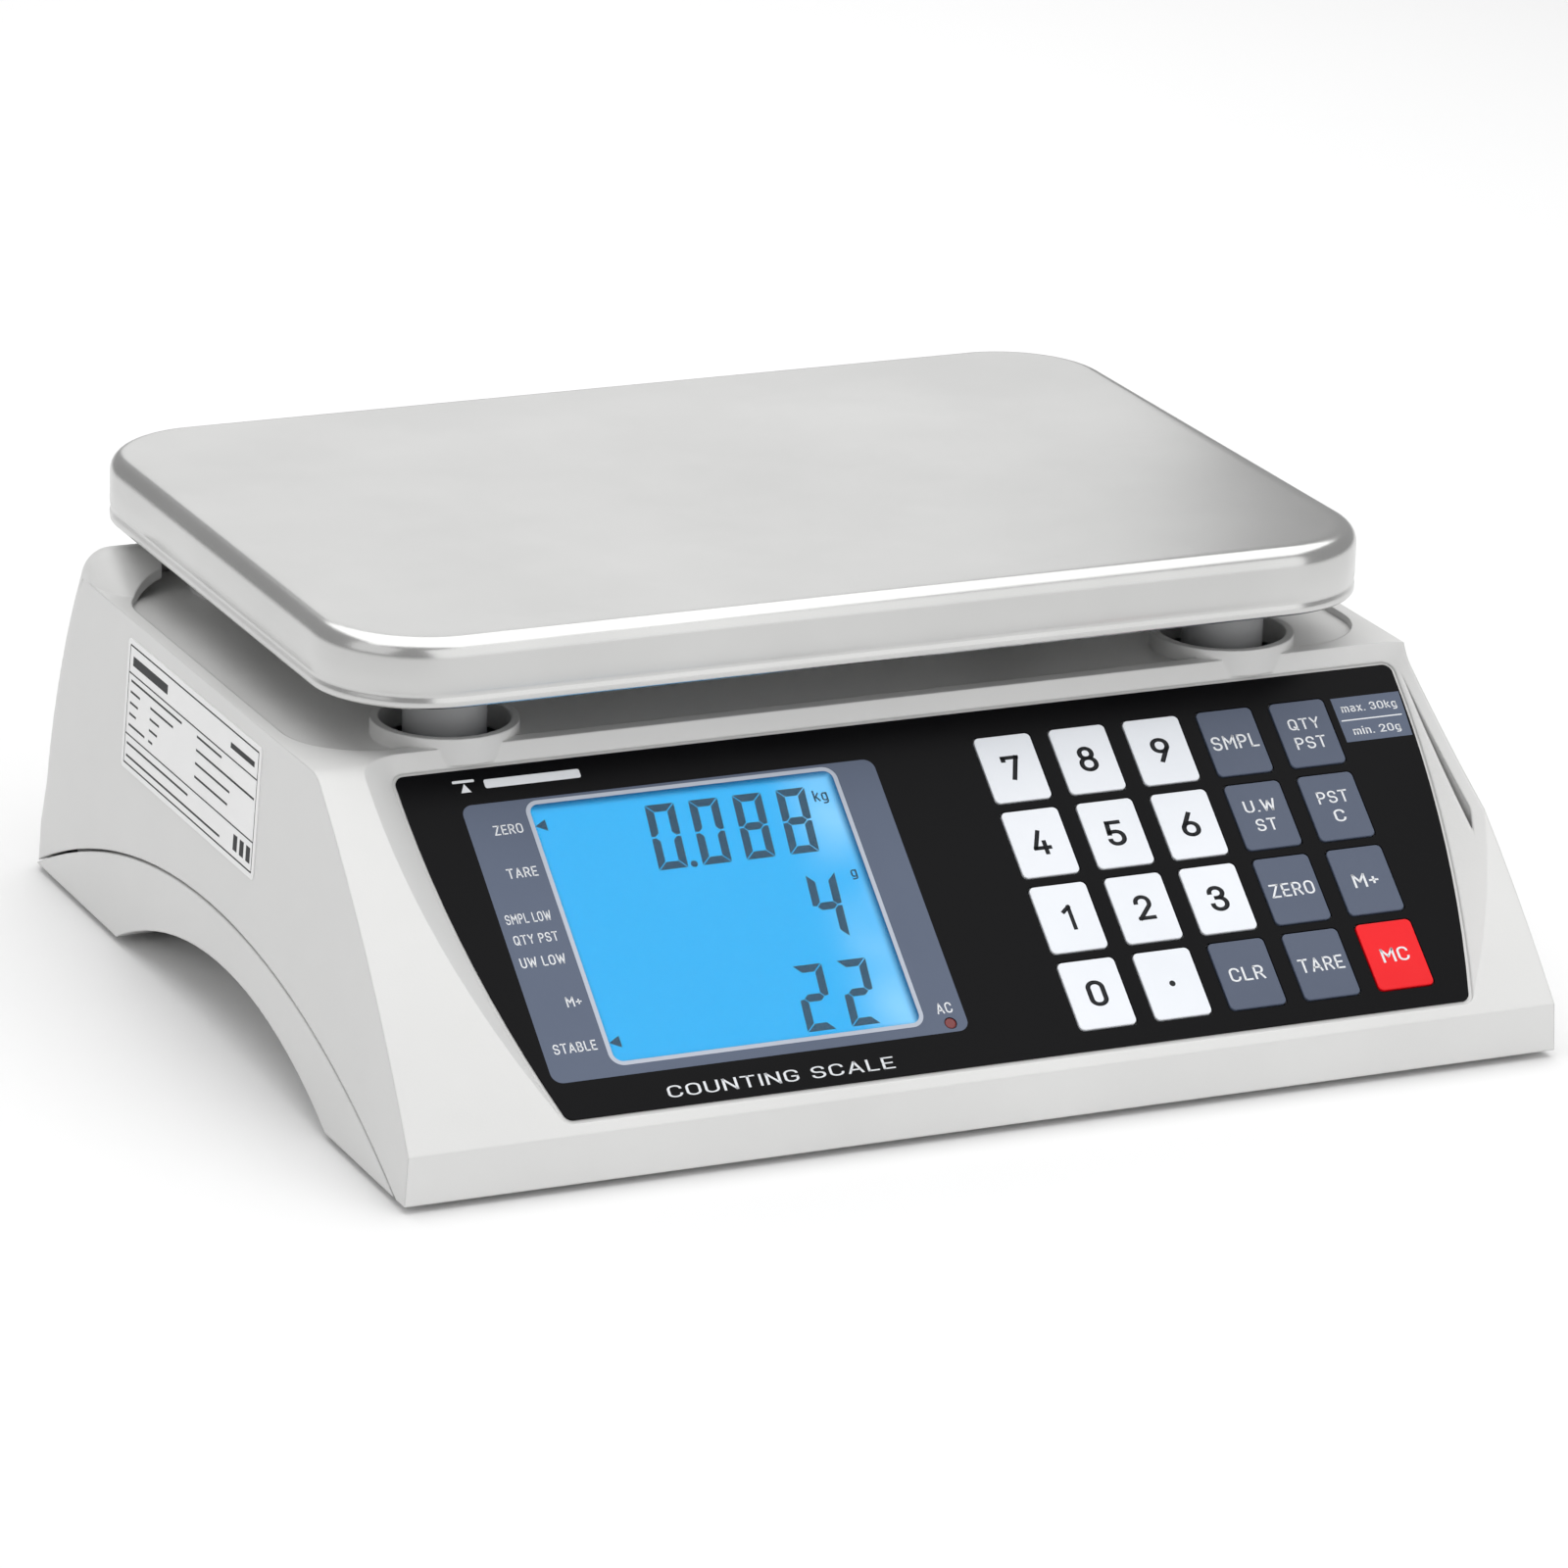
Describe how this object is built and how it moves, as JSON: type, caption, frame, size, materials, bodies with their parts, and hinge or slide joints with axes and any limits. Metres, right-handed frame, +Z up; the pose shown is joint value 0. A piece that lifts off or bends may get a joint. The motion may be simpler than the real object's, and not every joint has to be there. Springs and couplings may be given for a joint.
{
  "type": "counting scale",
  "caption": "Bench counting scale with a flat steel weighing pan over a sloped light-grey housing, a backlit display and a numeric keypad on the front panel.",
  "frame": {"origin": "centre of the bounding box at table height, under the soles of the feet", "axes": "+X to the right along the keypad panel, +Y from the front to the back, +Z up from the table"},
  "size_m": [0.322, 0.276, 0.121],
  "materials": {
    "housing_plastic": "fine spark texture, warm light grey",
    "bracket_steel": "zinc plated sheet",
    "cast_aluminium": "milled and cast",
    "cap_plastic": "moulded grey",
    "pan_steel": "satin stainless",
    "overlay_film": "printed polyester film",
    "clear_window": "clear polycarbonate",
    "lcd_panel": "liquid crystal glass, backlit blue",
    "backlight": "light guide",
    "circuit_board": "glass epoxy with green mask",
    "steel_dome": "stainless snap domes",
    "black_plastic": "moulded black",
    "label_paper": "white rating plate",
    "level_liquid": "yellow green liquid in acrylic",
    "red_led": "tinted lens",
    "bolt_steel": "zinc plated",
    "cable_jacket": "grey sheath",
    "white_key": "printed white",
    "grey_key": "printed blue grey",
    "red_key": "printed red",
    "foot_rubber": "moulded rubber"
  },
  "bodies": {
    "base": {"base_plate": "bracket_steel", "battery": "black_plastic", "battery_bracket": "bracket_steel", "dc_jack": "black_plastic", "display_board": "circuit_board", "display_window": "clear_window", "dome_switches": "steel_dome", "fixed_spacer": "cast_aluminium", "housing_screws": "bolt_steel", "keypad_board": "circuit_board", "keypad_overlay": "overlay_film", "lcd_backlight": "backlight", "lcd_glass": "lcd_panel", "load_cell": "cast_aluminium", "load_cell_base_bolts": "bolt_steel", "load_cell_cable": "cable_jacket", "lower_housing": "housing_plastic", "main_board": "circuit_board", "mains_led": "red_led", "power_switch_body": "black_plastic", "rating_label": "label_paper", "spirit_level_cup": "black_plastic", "spirit_level_vial": "level_liquid", "stop_screws": "bolt_steel", "upper_housing": "housing_plastic"},
    "platform": {"platform_spider": "cast_aluminium", "live_spacer": "cast_aluminium", "load_cell_live_bolts": "bolt_steel", "post_caps": "cap_plastic"},
    "pan": {"weighing_pan": "pan_steel"},
    "rocker": {"power_switch_rocker": "black_plastic"},
    "battery_door": {"battery_door": "housing_plastic"},
    "key_0": {"key_0": "white_key"},
    "key_1": {"key_1": "white_key"},
    "key_2": {"key_2": "white_key"},
    "key_3": {"key_3": "white_key"},
    "key_4": {"key_4": "white_key"},
    "key_5": {"key_5": "white_key"},
    "key_6": {"key_6": "white_key"},
    "key_7": {"key_7": "white_key"},
    "key_8": {"key_8": "white_key"},
    "key_9": {"key_9": "white_key"},
    "key_clear": {"key_clear": "grey_key"},
    "key_memory_add": {"key_memory_add": "grey_key"},
    "key_memory_clear": {"key_memory_clear": "red_key"},
    "key_point": {"key_point": "white_key"},
    "key_preset_clear": {"key_preset_clear": "grey_key"},
    "key_quantity_preset": {"key_quantity_preset": "grey_key"},
    "key_sample": {"key_sample": "grey_key"},
    "key_tare": {"key_tare": "grey_key"},
    "key_unit_weight": {"key_unit_weight": "grey_key"},
    "key_zero": {"key_zero": "grey_key"},
    "sole_front_left": {"foot_sole_front_left": "foot_rubber"},
    "screw_front_left": {"foot_screw_front_left": "bolt_steel"},
    "sole_front_right": {"foot_sole_front_right": "foot_rubber"},
    "screw_front_right": {"foot_screw_front_right": "bolt_steel"},
    "sole_rear_left": {"foot_sole_rear_left": "foot_rubber"},
    "screw_rear_left": {"foot_screw_rear_left": "bolt_steel"},
    "sole_rear_right": {"foot_sole_rear_right": "foot_rubber"},
    "screw_rear_right": {"foot_screw_rear_right": "bolt_steel"}
  },
  "joints": [
    {"name": "key_0_press", "type": "slide", "parent": "base", "child": "key_0", "axis": [0, 0.6341, -0.7733], "range_m": [0, 0.0005], "stiffness_N_per_m": 400, "springref_m": -0.0008},
    {"name": "key_1_press", "type": "slide", "parent": "base", "child": "key_1", "axis": [0, 0.6341, -0.7733], "range_m": [0, 0.0005], "stiffness_N_per_m": 400, "springref_m": -0.0008},
    {"name": "key_2_press", "type": "slide", "parent": "base", "child": "key_2", "axis": [0, 0.6341, -0.7733], "range_m": [0, 0.0005], "stiffness_N_per_m": 400, "springref_m": -0.0008},
    {"name": "key_3_press", "type": "slide", "parent": "base", "child": "key_3", "axis": [0, 0.6341, -0.7733], "range_m": [0, 0.0005], "stiffness_N_per_m": 400, "springref_m": -0.0008},
    {"name": "key_4_press", "type": "slide", "parent": "base", "child": "key_4", "axis": [0, 0.6341, -0.7733], "range_m": [0, 0.0005], "stiffness_N_per_m": 400, "springref_m": -0.0008},
    {"name": "key_5_press", "type": "slide", "parent": "base", "child": "key_5", "axis": [0, 0.6341, -0.7733], "range_m": [0, 0.0005], "stiffness_N_per_m": 400, "springref_m": -0.0008},
    {"name": "key_6_press", "type": "slide", "parent": "base", "child": "key_6", "axis": [0, 0.6341, -0.7733], "range_m": [0, 0.0005], "stiffness_N_per_m": 400, "springref_m": -0.0008},
    {"name": "key_7_press", "type": "slide", "parent": "base", "child": "key_7", "axis": [0, 0.6341, -0.7733], "range_m": [0, 0.0005], "stiffness_N_per_m": 400, "springref_m": -0.0008},
    {"name": "key_8_press", "type": "slide", "parent": "base", "child": "key_8", "axis": [0, 0.6341, -0.7733], "range_m": [0, 0.0005], "stiffness_N_per_m": 400, "springref_m": -0.0008},
    {"name": "key_9_press", "type": "slide", "parent": "base", "child": "key_9", "axis": [0, 0.6341, -0.7733], "range_m": [0, 0.0005], "stiffness_N_per_m": 400, "springref_m": -0.0008},
    {"name": "key_clear_press", "type": "slide", "parent": "base", "child": "key_clear", "axis": [0, 0.6341, -0.7733], "range_m": [0, 0.0005], "stiffness_N_per_m": 400, "springref_m": -0.0008},
    {"name": "key_memory_add_press", "type": "slide", "parent": "base", "child": "key_memory_add", "axis": [0, 0.6341, -0.7733], "range_m": [0, 0.0005], "stiffness_N_per_m": 400, "springref_m": -0.0008},
    {"name": "key_memory_clear_press", "type": "slide", "parent": "base", "child": "key_memory_clear", "axis": [0, 0.6341, -0.7733], "range_m": [0, 0.0005], "stiffness_N_per_m": 400, "springref_m": -0.0008},
    {"name": "key_point_press", "type": "slide", "parent": "base", "child": "key_point", "axis": [0, 0.6341, -0.7733], "range_m": [0, 0.0005], "stiffness_N_per_m": 400, "springref_m": -0.0008},
    {"name": "key_preset_clear_press", "type": "slide", "parent": "base", "child": "key_preset_clear", "axis": [0, 0.6341, -0.7733], "range_m": [0, 0.0005], "stiffness_N_per_m": 400, "springref_m": -0.0008},
    {"name": "key_quantity_preset_press", "type": "slide", "parent": "base", "child": "key_quantity_preset", "axis": [0, 0.6341, -0.7733], "range_m": [0, 0.0005], "stiffness_N_per_m": 400, "springref_m": -0.0008},
    {"name": "key_sample_press", "type": "slide", "parent": "base", "child": "key_sample", "axis": [0, 0.6341, -0.7733], "range_m": [0, 0.0005], "stiffness_N_per_m": 400, "springref_m": -0.0008},
    {"name": "key_tare_press", "type": "slide", "parent": "base", "child": "key_tare", "axis": [0, 0.6341, -0.7733], "range_m": [0, 0.0005], "stiffness_N_per_m": 400, "springref_m": -0.0008},
    {"name": "key_unit_weight_press", "type": "slide", "parent": "base", "child": "key_unit_weight", "axis": [0, 0.6341, -0.7733], "range_m": [0, 0.0005], "stiffness_N_per_m": 400, "springref_m": -0.0008},
    {"name": "key_zero_press", "type": "slide", "parent": "base", "child": "key_zero", "axis": [0, 0.6341, -0.7733], "range_m": [0, 0.0005], "stiffness_N_per_m": 400, "springref_m": -0.0008},
    {"name": "weigh_travel", "type": "slide", "parent": "base", "child": "platform", "axis": [0, 0, -1], "range_m": [0, 0.0004], "stiffness_N_per_m": 60000, "springref_m": -0.0006},
    {"name": "pan_lift", "type": "slide", "parent": "platform", "child": "pan", "axis": [0, 0, 1], "range_m": [0, 0.08]},
    {"name": "power_rocker", "type": "hinge", "parent": "base", "child": "rocker", "pos_m": [-0.05, 0.122, 0.032], "axis": [1, 0, 0], "range_deg": [0, 18]},
    {"name": "battery_door_release", "type": "slide", "parent": "base", "child": "battery_door", "axis": [0, 0, -1], "range_m": [0, 0.03]},
    {"name": "foot_extend_front_left", "type": "slide", "parent": "base", "child": "sole_front_left", "axis": [0, 0, -1], "range_m": [0, 0.005]},
    {"name": "foot_turn_front_left", "type": "hinge", "parent": "sole_front_left", "child": "screw_front_left", "pos_m": [-0.135, -0.112, 0.01], "axis": [0, 0, 1], "range_deg": [0, 1800.1]},
    {"name": "foot_extend_front_right", "type": "slide", "parent": "base", "child": "sole_front_right", "axis": [0, 0, -1], "range_m": [0, 0.005]},
    {"name": "foot_turn_front_right", "type": "hinge", "parent": "sole_front_right", "child": "screw_front_right", "pos_m": [0.135, -0.112, 0.01], "axis": [0, 0, 1], "range_deg": [0, 1800.1]},
    {"name": "foot_extend_rear_left", "type": "slide", "parent": "base", "child": "sole_rear_left", "axis": [0, 0, -1], "range_m": [0, 0.005]},
    {"name": "foot_turn_rear_left", "type": "hinge", "parent": "sole_rear_left", "child": "screw_rear_left", "pos_m": [-0.135, 0.106, 0.01], "axis": [0, 0, 1], "range_deg": [0, 1800.1]},
    {"name": "foot_extend_rear_right", "type": "slide", "parent": "base", "child": "sole_rear_right", "axis": [0, 0, -1], "range_m": [0, 0.005]},
    {"name": "foot_turn_rear_right", "type": "hinge", "parent": "sole_rear_right", "child": "screw_rear_right", "pos_m": [0.135, 0.106, 0.01], "axis": [0, 0, 1], "range_deg": [0, 1800.1]}
  ],
  "couplings": [
    {"joint": "foot_turn_front_left", "follows": "foot_extend_front_left", "rad_per_m": 6283.2},
    {"joint": "foot_turn_front_right", "follows": "foot_extend_front_right", "rad_per_m": 6283.2},
    {"joint": "foot_turn_rear_left", "follows": "foot_extend_rear_left", "rad_per_m": 6283.2},
    {"joint": "foot_turn_rear_right", "follows": "foot_extend_rear_right", "rad_per_m": 6283.2}
  ]
}
